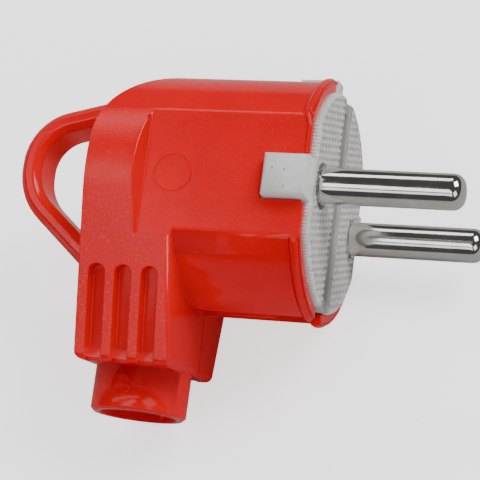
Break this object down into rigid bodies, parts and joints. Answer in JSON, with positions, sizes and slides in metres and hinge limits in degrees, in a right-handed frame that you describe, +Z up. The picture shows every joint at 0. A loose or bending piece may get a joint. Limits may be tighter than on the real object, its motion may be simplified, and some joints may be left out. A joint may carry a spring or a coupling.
{
  "type": "mains plug",
  "caption": "Angled round-pin mains plug with a ceramic insert, a moulded housing, a downward cable neck with a short collar and a pull loop behind.",
  "frame": {"origin": "middle of the ceramic insert's front face, between the two pins", "axes": "+X along the pins, away from the housing; +Z up with the plug lying on one side of its neck; the cable collar points towards -Y, turned 18 degrees downwards about X"},
  "size_m": [0.0652, 0.0488, 0.0332],
  "materials": {
    "housing": "glossy red moulded soft plastic",
    "ceramic": "unglazed light grey, fine woven relief on the face",
    "plate": "brown insulating board",
    "pins": "polished nickel plating",
    "brass": "plain turned brass",
    "steel": "plain zinc-plated steel"
  },
  "bodies": {
    "root": {"housing": "housing", "ceramic_insert": "ceramic", "backing_plate": "plate", "pin_near": "pins", "pin_far": "pins", "terminal_plates": "brass", "terminal_screws": "steel", "clamp_nuts": "brass", "clamp_spacers": "brass", "cable_clamp": "steel", "clamp_screws": "steel"}
  },
  "joints": []
}
